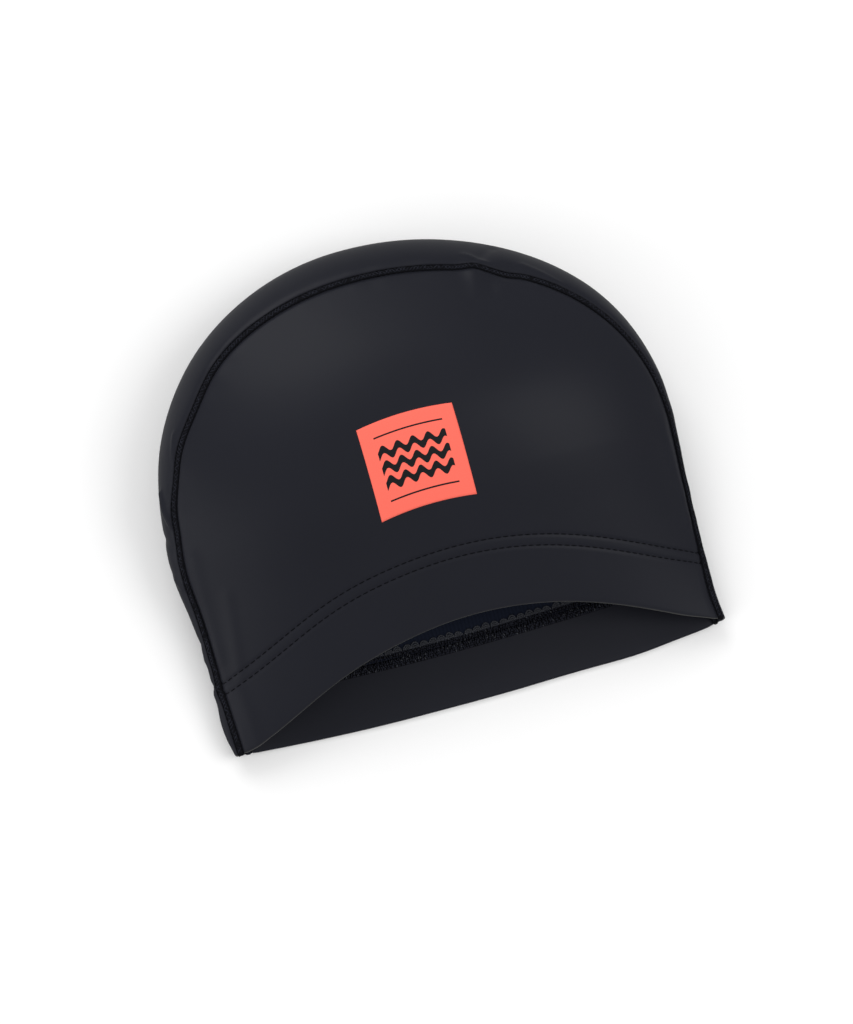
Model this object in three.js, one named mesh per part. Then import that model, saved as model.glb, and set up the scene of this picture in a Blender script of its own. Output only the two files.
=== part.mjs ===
// A soft swim cap of coated knit cloth, lying on its back panel and filled out as a head would fill it.
// Millimetres. +Z is up, +Y runs from the opening to the crown, and X runs from side to side.
// Every piece of cloth is a thin hollow wall. The formulas measure y from the line between the two hem
// corners, and the finished cap is then moved so that the origin lies below the middle of its box.

import * as THREE from 'three';

// Driving dimensions
const CLOTH = 1.1; // one layer of coated knit
const HEM_CLOTH = 2; // the same cloth turned in along the opening
const HEM_WIDTH = 24; // depth of the turned hem
const SEAM_WIDTH = 3; // flat overlocked seam
const SEAM_PROUD = 0.35; // how far its threads stand out of the cloth
const GAP = 0.3; // clearance between neighbouring pieces
const SHOULDER_Y = 78; // where the straight sides become the arch of the crown
const SHOULDER_ALONG = 0.34; // share of each half seam that is straight side
const ARCH_SQUARENESS = 2.15; // 2 is an ellipse, more is squarer
const CROWN_LEAN = 5.2; // how far the crown leans to the left
const EDGE_BOW = 29.5; // how far the filled crown draws the front hem back
const EDGE_BOW_POWER = 1.3; // how soon the drawn edge leaves the line between the corners
const BACK_EDGE_BOW = 4; // how far the back hem bows out at its middle
const BOX_MIDDLE = { x: -1.1, y: 90.5 }; // middle of the cap's box, from the middle between the hem corners
const PRINT_WIDTH = 39; // square print on the front panel
const PRINT_LENGTH = 36; // the same side, seen from above the slope that it lies on
const PRINT_CENTRE = { x: -6.7, y: 88.5 };
const PRINT_TURN = 1.5; // degrees, anticlockwise from above
const PRINT_THICKNESS = 0.3;

// The two seams seen from above: half widths at the shoulder and at the hem corner, and length of the arch
const FRONT_SEAM = { halfWidth: 102.5, cornerHalfWidth: 100.5, arch: 90 };
const BACK_SEAM = { halfWidth: 95.5, cornerHalfWidth: 97.3, arch: 80 };

// Heights along the cap: the front seam, how far the front panel bulges above it, and the back seam
const HEIGHTS = [
  { y: -12, frontSeam: 7.5, bulge: 2.5, backSeam: 1.6 },
  { y: 0, frontSeam: 9.5, bulge: 6, backSeam: 1.7 },
  { y: 28, frontSeam: 13.5, bulge: 14.5, backSeam: 1.9 },
  { y: 55, frontSeam: 18.5, bulge: 21.5, backSeam: 2.1 },
  { y: 78, frontSeam: 25, bulge: 24.5, backSeam: 2.3 },
  { y: 105, frontSeam: 33, bulge: 24, backSeam: 2.5 },
  { y: 128, frontSeam: 38.5, bulge: 21.5, backSeam: 2.6 },
  { y: 148, frontSeam: 41.5, bulge: 19.5, backSeam: 2.7 },
  { y: 168, frontSeam: 43, bulge: 18, backSeam: 2.8 },
  { y: 180, frontSeam: 43.5, bulge: 18, backSeam: 2.8 },
];
const SIDE_ROUNDNESS = 3.2; // how flat the front panel stays before it turns down to its seam at the sides
const CROWN_ROUNDNESS = 2; // the same at the crown
const SIDE_ROLL = { height: 1, sharpness: 15 }; // the last roll of the cloth over each side, beside the seam
const BACK_TURN_UP = 0.3; // share of the back panel's width over which it lifts off the surface

// How full the crown strip swells beyond each seam, from the hem corner (0) to the crown (1).
// The left side swells further out than the right one, because the cap lies tipped that way.
const STRIP_SECTIONS = [
  { along: 0, frontLeft: 4, frontRight: 4.3, back: 3.8 },
  { along: 0.15, frontLeft: 3.6, frontRight: 3, back: 4.5 },
  { along: 0.34, frontLeft: 11.5, frontRight: 4.5, back: 7.5 },
  { along: 0.65, frontLeft: 7, frontRight: 10.5, back: 30 },
  { along: 1, frontLeft: 12, frontRight: 12, back: 44 },
  { along: 1.35, frontLeft: 7, frontRight: 10.5, back: 30 },
];

// Puckers in the cloth: where each one is, how far it reaches and how far it pushes the cloth
const PUCKERS = [
  { x: 34, y: 160, z: 43, reach: 7, push: [0, 1.4, 1.2] }, // where the seam turns at the crown
  { x: 51, y: 153, z: 41, reach: 8, push: [0, -1.6, -1.4] },
  { x: -105, y: 97, z: 24, reach: 7, push: [1.6, 0, 0] }, // left side
  { x: -105, y: 74, z: 15, reach: 4, push: [1.2, 0, 0] },
  { x: -103, y: 60, z: 14, reach: 8, push: [1, 0, 0] },
  { x: -104, y: 16, z: 7, reach: 7, push: [-1, 0, 0] },
];

// Mesh counts
const HEM_ROWS = 4;
const FRONT_COLUMNS = 38;
const FRONT_ROWS = 15;
const BACK_COLUMNS = 34;
const BACK_ROWS = 12;
const SEAM_STEPS = 76;
const STRIP_ROWS = 8;
const PRINT_STEPS = 9;

const BORDER = SEAM_WIDTH / 2 + GAP; // from a seam's centre line to the cloth beside it
const TANGENT_STEP = 1.5; // length over which a surface's slope is measured
const STRAIGHT_SHARE = 0.25; // share of each arch that counts as side in the panel meshes
const HEM_STEP = 0.4; // half length of the step at the hem's inner edge

// A smooth curve through one column of a table, by its key column
function column(rows, key, name, at) {
  let i = 0;
  while (i < rows.length - 2 && rows[i + 1][key] < at) i += 1;
  const slope = (k) => {
    const low = Math.max(k - 1, 0);
    const high = Math.min(k + 1, rows.length - 1);
    return (rows[high][name] - rows[low][name]) / (rows[high][key] - rows[low][key]);
  };
  const span = rows[i + 1][key] - rows[i][key];
  const t = THREE.MathUtils.clamp((at - rows[i][key]) / span, 0, 1);
  const start = rows[i][name];
  const end = rows[i + 1][name];
  const rise = t * t * (3 - 2 * t);
  const leave = t * (1 - t) * (1 - t) * span;
  const arrive = t * t * (t - 1) * span;
  return start + (end - start) * rise + leave * slope(i) + arrive * slope(i + 1);
}

// Share of a half seam from its hem corner, for a position from -1 (left corner) over 0 (crown) to 1
const alongSeam = (position) => 1 - Math.abs(position);

// How far the cap's middle line has leant aside at a distance y from the opening
const lean = (y) => -CROWN_LEAN * Math.max((y - SHOULDER_Y) / FRONT_SEAM.arch, 0) ** 2;

// A seam seen from above: straight tapering sides, then half a superellipse over the crown
function seamPlan(seam, position) {
  const along = alongSeam(position);
  const power = 2 / ARCH_SQUARENESS;
  let x;
  let y;
  if (along < SHOULDER_ALONG) {
    const up = along / SHOULDER_ALONG;
    x = seam.cornerHalfWidth + (seam.halfWidth - seam.cornerHalfWidth) * (1 - (1 - up) ** 2);
    y = SHOULDER_Y * up;
  } else {
    const angle = ((along - SHOULDER_ALONG) / (1 - SHOULDER_ALONG)) * (Math.PI / 2);
    x = seam.halfWidth * Math.max(Math.cos(angle), 0) ** power;
    y = SHOULDER_Y + seam.arch * Math.sin(angle) ** power;
  }
  return new THREE.Vector2((position < 0 ? -x : x) + lean(y), y);
}

// Direction across a seam, seen from above and pointing out of the cap
function seamOutward(seam, position) {
  const step = 0.002;
  const before = seamPlan(seam, Math.max(position - step, -1));
  const after = seamPlan(seam, Math.min(position + step, 1));
  const tangent = after.sub(before).normalize();
  return new THREE.Vector2(-tangent.y, tangent.x);
}

// How far out a place lies, seen from above: 0 in the middle of the cap, 1 on the seam
function seamShare(seam, x, y) {
  if (y < SHOULDER_Y) {
    const up = Math.max(y, -SHOULDER_Y) / SHOULDER_Y;
    const half = seam.cornerHalfWidth + (seam.halfWidth - seam.cornerHalfWidth) * (1 - (1 - up) ** 2);
    return Math.abs(x) / half;
  }
  const across = Math.abs(x - lean(y)) / seam.halfWidth;
  const up = (y - SHOULDER_Y) / seam.arch;
  return (across ** ARCH_SQUARENESS + up ** ARCH_SQUARENESS) ** (1 / ARCH_SQUARENESS);
}

// Outer face of the front panel: its seam's height, and a bulge that falls to nothing at the seam
function frontHeight(x, y) {
  const share = Math.min(seamShare(FRONT_SEAM, x, y), 1);
  const crownward = THREE.MathUtils.clamp((y - SHOULDER_Y) / FRONT_SEAM.arch, 0, 1);
  const roundness = THREE.MathUtils.lerp(SIDE_ROUNDNESS, CROWN_ROUNDNESS, crownward);
  const bulge = column(HEIGHTS, 'y', 'bulge', y) * (1 - share ** roundness);
  const roll = SIDE_ROLL.height * (1 - crownward) * (1 - share ** SIDE_ROLL.sharpness);
  return column(HEIGHTS, 'y', 'frontSeam', y) + bulge + roll;
}

// Outer face of the back panel: flat where the cap lies on it, lifted towards its seam
function backHeight(x, y) {
  const lift = Math.max((seamShare(BACK_SEAM, x, y) - 1 + BACK_TURN_UP) / BACK_TURN_UP, 0);
  return column(HEIGHTS, 'y', 'backSeam', y) * lift ** 2;
}

// A point on a panel's outer face, and the direction out of the cap there
function facePoint(height, plan) {
  return new THREE.Vector3(plan.x, plan.y, height(plan.x, plan.y));
}

function faceNormal(height, plan, up) {
  const step = 0.5;
  const alongX = (height(plan.x + step, plan.y) - height(plan.x - step, plan.y)) / (2 * step);
  const alongY = (height(plan.x, plan.y + step) - height(plan.x, plan.y - step)) / (2 * step);
  return new THREE.Vector3(-alongX, -alongY, 1).normalize().multiplyScalar(up);
}

// A seam's centre, the direction across it that leads out over the panel's edge, and its outward normal
function seamFrame(seam, height, up, position) {
  const plan = seamPlan(seam, position);
  const outward = seamOutward(seam, position);
  const inside = plan.clone().addScaledVector(outward, -TANGENT_STEP);
  const centre = facePoint(height, plan);
  const across = centre.clone().sub(facePoint(height, inside)).normalize();
  const along = new THREE.Vector3(outward.y, -outward.x, 0);
  const normal = new THREE.Vector3().crossVectors(along, across).normalize();
  if (normal.z * up < 0) normal.negate();
  return { centre, across, normal };
}

const frontSeamFrame = (position) => seamFrame(FRONT_SEAM, frontHeight, 1, position);
const backSeamFrame = (position) => seamFrame(BACK_SEAM, backHeight, -1, position);

// The cloth's edge beside a seam, seen from above
function borderPlan(frame) {
  const edge = frame.centre.clone().addScaledVector(frame.across, -BORDER);
  return new THREE.Vector2(edge.x, edge.y);
}

// Every point of every piece follows the same puckers, so neighbours keep their gap
function puckered(point) {
  const moved = point.clone();
  for (const { x, y, z, reach, push } of PUCKERS) {
    const distance = point.distanceTo(new THREE.Vector3(x, y, z));
    const share = Math.exp(-((distance / reach) ** 2));
    moved.addScaledVector(new THREE.Vector3(...push), share);
  }
  return moved;
}

// A closed body from two matching grids of points, the outer and the inner face of a wall
function wallGeometry(outer, inner) {
  const rows = outer.length;
  const columns = outer[0].length;
  const points = [...outer.flat(), ...inner.flat()].map(puckered);
  const corner = (face, row, col) => face * rows * columns + row * columns + col;
  const triangles = [];
  const quad = (a, b, c, d) => triangles.push([a, b, c], [a, c, d]);
  for (let row = 0; row < rows - 1; row += 1) {
    for (let col = 0; col < columns - 1; col += 1) {
      quad(corner(0, row, col), corner(0, row, col + 1), corner(0, row + 1, col + 1), corner(0, row + 1, col));
      quad(corner(1, row, col), corner(1, row + 1, col), corner(1, row + 1, col + 1), corner(1, row, col + 1));
    }
  }
  const rim = [];
  for (let col = 0; col < columns - 1; col += 1) rim.push([0, col]);
  for (let row = 0; row < rows - 1; row += 1) rim.push([row, columns - 1]);
  for (let col = columns - 1; col > 0; col -= 1) rim.push([rows - 1, col]);
  for (let row = rows - 1; row > 0; row -= 1) rim.push([row, 0]);
  rim.forEach(([row, col], i) => {
    const [nextRow, nextCol] = rim[(i + 1) % rim.length];
    quad(corner(0, row, col), corner(1, row, col), corner(1, nextRow, nextCol), corner(0, nextRow, nextCol));
  });
  return outwardGeometry(points, triangles);
}

// A geometry whose faces point out, whichever way round its triangles were listed
function outwardGeometry(points, triangles) {
  const volume = triangles.reduce((sum, [a, b, c]) => {
    const cross = new THREE.Vector3().crossVectors(points[b], points[c]);
    return sum + points[a].dot(cross);
  }, 0);
  const geometry = new THREE.BufferGeometry().setFromPoints(points);
  geometry.setIndex(triangles.flatMap(([a, b, c]) => (volume < 0 ? [a, c, b] : [a, b, c])));
  geometry.computeVertexNormals();
  return geometry;
}

// A point of a four-sided patch, from its four edges
function blendEdges(edges, u, v) {
  const { bottom, top, left, right } = edges;
  const across = bottom(u).multiplyScalar(1 - v).addScaledVector(top(u), v);
  const upwards = left(v).multiplyScalar(1 - u).addScaledVector(right(v), u);
  const low = bottom(0).multiplyScalar(1 - u).addScaledVector(bottom(1), u);
  const high = top(0).multiplyScalar(1 - u).addScaledVector(top(1), u);
  const corners = low.multiplyScalar(1 - v).addScaledVector(high, v);
  return across.add(upwards).sub(corners);
}

// A panel: a hem patch along the opening and a body patch up to the arch of its seam
function panelGeometry({ height, up, frame, edgeBow, edgePower, columns, bodyRows }) {
  const border = (position) => borderPlan(frame(position));
  const cornerPlan = border(1);
  const inFromCorner = (x) => Math.max(1 - (x / cornerPlan.x) ** 2, 0);
  const edgeY = (x) => cornerPlan.y + edgeBow * inFromCorner(x) ** edgePower;
  const edgeSlope = (x) => (2 * edgeBow * edgePower * x * inFromCorner(x) ** (edgePower - 1)) / cornerPlan.x ** 2;
  const hemY = (x) => edgeY(x) + HEM_WIDTH * Math.hypot(1, edgeSlope(x));

  let hemAlong = 0;
  for (let i = 0; i < 4; i += 1) {
    hemAlong = (SHOULDER_ALONG * hemY(border(1 - hemAlong).x)) / SHOULDER_Y;
  }
  const splitAlong = SHOULDER_ALONG + (1 - SHOULDER_ALONG) * STRAIGHT_SHARE;
  const lerp = THREE.MathUtils.lerp;
  const side = (sign, from, to) => (v) => border(sign * (1 - lerp(from, to, v)));
  const across = (half, y) => (u) => {
    const x = lerp(-half, half, u);
    return new THREE.Vector2(x, y(x));
  };

  const hemHalf = border(1 - hemAlong).x;
  const hem = {
    bottom: across(cornerPlan.x, edgeY),
    top: across(hemHalf, hemY),
    left: side(-1, 0, hemAlong),
    right: side(1, 0, hemAlong),
  };
  const body = {
    bottom: hem.top,
    top: (u) => border(lerp(splitAlong - 1, 1 - splitAlong, u)),
    left: side(-1, hemAlong, splitAlong),
    right: side(1, hemAlong, splitAlong),
  };

  const stepShare = HEM_STEP / HEM_WIDTH;
  const rows = [];
  for (let i = 0; i <= HEM_ROWS; i += 1) {
    rows.push({ patch: hem, v: (i / HEM_ROWS) * (1 - stepShare), wall: HEM_CLOTH, from: 0, to: hemAlong });
  }
  for (let i = 0; i <= bodyRows; i += 1) {
    const v = lerp(stepShare / 4, 1, i / bodyRows);
    rows.push({ patch: body, v, wall: CLOTH, from: hemAlong, to: splitAlong });
  }

  const outer = [];
  const inner = [];
  rows.forEach(({ patch, v, wall, from, to }, row) => {
    const outerRow = [];
    const innerRow = [];
    for (let col = 0; col <= columns; col += 1) {
      const u = col / columns;
      const plan = blendEdges(patch, u, v);
      const point = facePoint(height, plan);
      let normal = faceNormal(height, plan, up);
      if (col === 0) normal = frame(-(1 - lerp(from, to, v))).normal;
      if (col === columns) normal = frame(1 - lerp(from, to, v)).normal;
      if (row === rows.length - 1) normal = frame(lerp(splitAlong - 1, 1 - splitAlong, u)).normal;
      outerRow.push(point);
      innerRow.push(point.clone().addScaledVector(normal, -wall));
    }
    outer.push(outerRow);
    inner.push(innerRow);
  });
  return wallGeometry(outer, inner);
}

// Positions along a seam, closer together where the hem ends, and the wall at each of them
const HEM_ALONG = (SHOULDER_ALONG * (HEM_WIDTH + 2)) / SHOULDER_Y;
const wallAt = (position) => (alongSeam(position) < HEM_ALONG ? HEM_CLOTH : CLOTH);
const seamPositions = Array.from({ length: SEAM_STEPS + 1 }, (_, i) => (2 * i) / SEAM_STEPS - 1);

// The crown strip: at each position a swelling section from the front seam round to the back seam
function stripSection(position) {
  const front = frontSeamFrame(position);
  const back = backSeamFrame(position);
  const along = alongSeam(position);
  const start = front.centre.clone().addScaledVector(front.across, BORDER);
  const end = back.centre.clone().addScaledVector(back.across, BORDER);
  const side = position < 0 ? 'frontLeft' : 'frontRight';
  const upper = start.clone().addScaledVector(front.across, column(STRIP_SECTIONS, 'along', side, along));
  const lower = end.clone().addScaledVector(back.across, column(STRIP_SECTIONS, 'along', 'back', along));
  return { curve: new THREE.CubicBezierCurve3(start, upper, lower, end), front, back };
}

function stripGeometry() {
  const outer = [];
  const inner = [];
  for (const position of seamPositions) {
    const { curve, front, back } = stripSection(position);
    const outward = seamOutward(FRONT_SEAM, position);
    const alongCap = new THREE.Vector3(outward.y, -outward.x, 0);
    const outerRow = [];
    const innerRow = [];
    for (let i = 0; i <= STRIP_ROWS; i += 1) {
      const t = i / STRIP_ROWS;
      const point = curve.getPoint(t);
      let normal = new THREE.Vector3().crossVectors(curve.getTangent(t), alongCap).normalize().negate();
      if (i === 0) normal = front.normal;
      if (i === STRIP_ROWS) normal = back.normal;
      outerRow.push(point);
      innerRow.push(point.clone().addScaledVector(normal, -wallAt(position)));
    }
    outer.push(outerRow);
    inner.push(innerRow);
  }
  return wallGeometry(outer, inner);
}

// A seam band: a low rounded ridge outside, as deep as the cloth inside
function seamGeometry(frame) {
  const half = SEAM_WIDTH / 2;
  const outer = [];
  const inner = [];
  for (const position of seamPositions) {
    const { centre, across, normal } = frame(position);
    const place = (side, out) => centre.clone().addScaledVector(across, side).addScaledVector(normal, out);
    const wall = wallAt(position);
    outer.push([place(-half, 0.1), place(-half * 0.6, SEAM_PROUD), place(half * 0.6, SEAM_PROUD), place(half, 0.1)]);
    inner.push([place(-half, -wall), place(-half * 0.6, -wall), place(half * 0.6, -wall), place(half, -wall)]);
  }
  return wallGeometry(outer, inner);
}

// The print: a thin square skin over the front panel
function printGeometry() {
  const layer = (out) => Array.from({ length: PRINT_STEPS + 1 }, (_, row) =>
    Array.from({ length: PRINT_STEPS + 1 }, (__, col) => {
      const x = (col / PRINT_STEPS - 0.5) * PRINT_WIDTH;
      const y = (row / PRINT_STEPS - 0.5) * PRINT_LENGTH;
      const turn = THREE.MathUtils.degToRad(PRINT_TURN);
      const plan = new THREE.Vector2(x, y).rotateAround(new THREE.Vector2(), turn).add(PRINT_CENTRE);
      return facePoint(frontHeight, plan).addScaledVector(faceNormal(frontHeight, plan, 1), out);
    }));
  return wallGeometry(layer(GAP + PRINT_THICKNESS), layer(GAP));
}

const coatedCloth = { color: '#1c1f23', roughness: 0.55, metalness: 0 };
const seamThread = { color: '#101215', roughness: 0.85, metalness: 0 };
const printInk = { color: '#f56c5c', roughness: 0.6, metalness: 0 };

const cap = new THREE.Group();
cap.name = 'swim_cap';
cap.position.set(-BOX_MIDDLE.x, -BOX_MIDDLE.y, 0);

function addPiece(name, geometry, look) {
  const mesh = new THREE.Mesh(geometry, new THREE.MeshStandardMaterial({ name, ...look }));
  mesh.name = name;
  cap.add(mesh);
}

addPiece('front_panel', panelGeometry({
  height: frontHeight,
  up: 1,
  frame: frontSeamFrame,
  edgeBow: EDGE_BOW,
  edgePower: EDGE_BOW_POWER,
  columns: FRONT_COLUMNS,
  bodyRows: FRONT_ROWS,
}), coatedCloth);

addPiece('back_panel', panelGeometry({
  height: backHeight,
  up: -1,
  frame: backSeamFrame,
  edgeBow: -BACK_EDGE_BOW,
  edgePower: 1,
  columns: BACK_COLUMNS,
  bodyRows: BACK_ROWS,
}), coatedCloth);

addPiece('crown_strip', stripGeometry(), coatedCloth);
addPiece('front_seam', seamGeometry(frontSeamFrame), seamThread);
addPiece('back_seam', seamGeometry(backSeamFrame), seamThread);
addPiece('print_square', printGeometry(), printInk);

export default cap;
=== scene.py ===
# %% [markdown]
# # A soft swim cap
# The real cap is three pieces of coated knit cloth: a front panel, a back panel and a crown strip
# that tapers down both sides. Flat overlocked seams join them, and the cloth is turned in along the
# opening. This lesson rebuilds each piece of cloth as a moved grid, sews it with small thread
# shapes, and finishes it with procedural materials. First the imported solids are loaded, because
# every piece takes their place.

# %% Load the frame
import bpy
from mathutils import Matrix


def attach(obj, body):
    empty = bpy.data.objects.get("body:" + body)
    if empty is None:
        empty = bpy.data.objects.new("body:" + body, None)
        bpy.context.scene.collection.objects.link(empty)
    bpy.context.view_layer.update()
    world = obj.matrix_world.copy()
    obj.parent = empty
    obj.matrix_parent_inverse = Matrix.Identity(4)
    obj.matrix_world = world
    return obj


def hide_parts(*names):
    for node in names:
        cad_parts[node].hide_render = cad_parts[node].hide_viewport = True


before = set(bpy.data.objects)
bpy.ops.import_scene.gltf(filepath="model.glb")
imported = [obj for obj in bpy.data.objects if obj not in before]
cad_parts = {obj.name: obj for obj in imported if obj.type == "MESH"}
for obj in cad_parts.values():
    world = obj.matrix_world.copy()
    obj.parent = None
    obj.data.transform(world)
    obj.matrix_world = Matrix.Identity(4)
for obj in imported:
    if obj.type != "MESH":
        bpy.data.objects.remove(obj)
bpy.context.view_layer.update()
print("solids loaded:", sorted(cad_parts))

# %% Blender's own modules, and Python's
import functools
import math
import random

import bmesh
import bpy
from mathutils import Matrix, Vector, kdtree, noise

random.seed(7)

# %% [markdown]
# ## The cap's measures
# A pattern cutter would note a few widths and heights and draw fair curves through them. The script
# does the same in millimetres. The y of these tables starts at the line between the two hem
# corners, and `to_frame` moves a finished point to the place of the solids and turns millimetres
# into metres.

# %% Driving measures, in millimetres
MM = 0.001
MIDDLE = (-1.1, 90.5)  # middle of the cap's box, from the middle between the hem corners
CLOTH = 0.7  # one layer of coated knit
HEM_DEPTH = 2.0  # the turned hem, from the outer face to the inner one
FOLD_RADIUS = HEM_DEPTH / 2
HEM_WIDTH = 24.0
BORDER = 1.4  # from a seam's centre line to the edge of the cloth beside it
SHOULDER_Y = 78.0  # where the straight sides become the arch of the crown
SHOULDER_ALONG = 0.34  # share of each half seam that is straight side
SQUARENESS = 2.15  # of the arch: 2 is an ellipse
CROWN_LEAN = 5.2  # how far the crown leans to the left

SEAMS = {
    "front": {"half": 102.5, "corner": 100.5, "arch": 90.0, "bow": 29.5, "power": 1.3, "up": 1},
    "back": {"half": 95.5, "corner": 97.3, "arch": 80.0, "bow": -4.0, "power": 1.0, "up": -1},
}
HEIGHTS = {
    "at": (-12, 0, 28, 55, 78, 105, 128, 148, 168, 180),
    "bulge": (2.5, 6, 14.5, 21.5, 24.5, 24, 21.5, 19.5, 18, 18),
    "front": (7.5, 9.5, 13.5, 18.5, 25, 33, 38.5, 41.5, 43, 43.5),
    "back": (1.6, 1.7, 1.9, 2.1, 2.3, 2.5, 2.6, 2.7, 2.8, 2.8),
}
STRIP_SWELL = {
    "at": (0, 0.06, 0.115, 0.2, 0.34, 0.65, 1, 1.35),
    "left": (2.2, 6.6, 4, 5.2, 11.6, 6.5, 11.2, 6.9),
    "right": (2.6, 2.8, 2.6, 2, 5, 12.4, 11.2, 12.4),
    "lower": (3.2, 3.4, 3.8, 4.1, 5, 29.6, 45.5, 29.6),
}


def lerp(a, b, t):
    return a + (b - a) * t


def to_frame(point):
    return Vector((point.x - MIDDLE[0], point.y - MIDDLE[1], point.z)) * MM


# %% A fair curve through one column of a table
def column(table, name, at):
    keys, values = table["at"], table[name]
    i = 0
    while i < len(keys) - 2 and keys[i + 1] < at:
        i += 1

    def slope(k):
        low, high = max(k - 1, 0), min(k + 1, len(keys) - 1)
        return (values[high] - values[low]) / (keys[high] - keys[low])

    span = keys[i + 1] - keys[i]
    t = min(max((at - keys[i]) / span, 0), 1)
    rise = t * t * (3 - 2 * t)
    bend = t * (1 - t) ** 2 * slope(i) + t * t * (t - 1) * slope(i + 1)
    return values[i] + (values[i + 1] - values[i]) * rise + bend * span


def lean(y):
    return -CROWN_LEAN * max((y - SHOULDER_Y) / SEAMS["front"]["arch"], 0) ** 2


print("front seam at the hem corners:", column(HEIGHTS, "front", 0), "mm high")

# %% [markdown]
# ## The seams seen from above
# Each seam runs up one side, over the crown and down the other side. Its sides are almost straight
# and its crown is half a superellipse, which is a little squarer than an ellipse, as a filled cap
# is. A place on a seam is a position from -1, the left hem corner, over 0, the crown, to 1, the
# right hem corner.

# %% Plan of a seam
@functools.lru_cache(maxsize=None)
def seam_plan(name, position):
    seam, along = SEAMS[name], 1 - abs(position)
    if along < SHOULDER_ALONG:
        up = along / SHOULDER_ALONG
        x = seam["corner"] + (seam["half"] - seam["corner"]) * (1 - (1 - up) ** 2)
        y = SHOULDER_Y * up
    else:
        angle = (along - SHOULDER_ALONG) / (1 - SHOULDER_ALONG) * math.pi / 2
        x = seam["half"] * max(math.cos(angle), 0) ** (2 / SQUARENESS)
        y = SHOULDER_Y + seam["arch"] * math.sin(angle) ** (2 / SQUARENESS)
    return Vector((math.copysign(x, position) + lean(y), y, 0))


def seam_outward(name, position, step=0.002):
    before = seam_plan(name, max(position - step, -1))
    after = seam_plan(name, min(position + step, 1))
    tangent = (after - before).normalized()
    return Vector((-tangent.y, tangent.x, 0))


print("crown of the front seam:", seam_plan("front", 0.0))

# %% How far out a place lies, from 0 in the middle of a panel to 1 on its seam
def seam_half_width(name, y):
    seam = SEAMS[name]
    up = max(y, -SHOULDER_Y) / SHOULDER_Y
    return seam["corner"] + (seam["half"] - seam["corner"]) * (1 - (1 - up) ** 2)


def seam_share(name, x, y):
    if y < SHOULDER_Y:
        return abs(x) / seam_half_width(name, y)
    across = abs(x - lean(y)) / SEAMS[name]["half"]
    up = (y - SHOULDER_Y) / SEAMS[name]["arch"]
    return (across**SQUARENESS + up**SQUARENESS) ** (1 / SQUARENESS)


print("share halfway up the crown:", round(seam_share("front", 0, 123), 2))

# %% Height of the front panel over a place seen from above
SIDE_ROUNDNESS, CROWN_ROUNDNESS = 3.2, 2.0  # how flat it stays before it turns down to its seam
ROLL_HEIGHT = 1.0  # the last roll of the cloth over each side
ROLL_SHARPNESS = 15


def front_height(x, y):
    share = min(seam_share("front", x, y), 1)
    crownward = min(max((y - SHOULDER_Y) / SEAMS["front"]["arch"], 0), 1)
    roundness = lerp(SIDE_ROUNDNESS, CROWN_ROUNDNESS, crownward)
    bulge = column(HEIGHTS, "bulge", y) * (1 - share**roundness)
    roll = ROLL_HEIGHT * (1 - crownward) * (1 - share**ROLL_SHARPNESS)
    return column(HEIGHTS, "front", y) + bulge + roll


print("front panel's highest line:", round(front_height(lean(110), 110), 1), "mm")

# %% Height of the back panel: flat where the cap lies on it, turned up towards its seam
BACK_TURN_UP = 0.3


def back_height(x, y):
    lift = max((seam_share("back", x, y) - 1 + BACK_TURN_UP) / BACK_TURN_UP, 0)
    return column(HEIGHTS, "back", y) * lift**2


FACES = {"front": front_height, "back": back_height}


def face_point(name, plan):
    return Vector((plan.x, plan.y, FACES[name](plan.x, plan.y)))


def face_normal(name, plan, step=0.5):
    height = FACES[name]
    along_x = (height(plan.x + step, plan.y) - height(plan.x - step, plan.y)) / (2 * step)
    along_y = (height(plan.x, plan.y + step) - height(plan.x, plan.y - step)) / (2 * step)
    return Vector((-along_x, -along_y, 1)).normalized() * SEAMS[name]["up"]


print("back panel's height at its side:", round(back_height(96, 60), 2), "mm")

# %% [markdown]
# ## A frame at every place of a seam
# Cloth, seam band and thread all meet at a seam, so they share one small frame there: the centre of
# the seam, the direction across it that leads out over the panel's edge, and the direction out of
# the cap.

# %% Centre, across and normal of a seam
@functools.lru_cache(maxsize=None)
def seam_frame(name, position, step=1.5):
    plan, outward = seam_plan(name, position), seam_outward(name, position)
    centre = face_point(name, plan)
    across = (centre - face_point(name, plan - outward * step)).normalized()
    along = Vector((outward.y, -outward.x, 0))
    normal = along.cross(across).normalized()
    if normal.z * SEAMS[name]["up"] < 0:
        normal.negate()
    return centre, across, normal


@functools.lru_cache(maxsize=None)
def border(name, position):
    centre, across, _ = seam_frame(name, position)
    edge = centre - across * BORDER
    return Vector((edge.x, edge.y, 0))


print("front seam's corner:", seam_frame("front", 1.0)[0])

# %% [markdown]
# ## What sewing does to the cloth
# Soft cloth isn't a perfect surface. The overlock pulls it down beside the seam and gathers it into
# small ripples, a few larger puckers sit where the seam turns, soft creases run out from it, and
# the whole face waves a little. Ripples and dips are worked out from a point's distance to the
# seams, which a kd-tree finds quickly. Puckers move cloth, seam and thread together, so nothing
# comes apart.

# %% Distance and place along the nearest seam
SEAM_SAMPLES = 900


def seam_tree(name):
    tree, lengths, last, total = kdtree.KDTree(SEAM_SAMPLES + 1), [], None, 0.0
    for i in range(SEAM_SAMPLES + 1):
        centre = seam_frame(name, 2 * i / SEAM_SAMPLES - 1)[0]
        total += (centre - last).length if last else 0.0
        lengths.append(total)
        tree.insert(centre, i)
        last = centre
    tree.balance()
    return tree, lengths


SEAM_TREES = {name: seam_tree(name) for name in SEAMS}
print("seam lengths:", {name: round(tree[1][-1]) for name, tree in SEAM_TREES.items()}, "mm")

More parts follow.
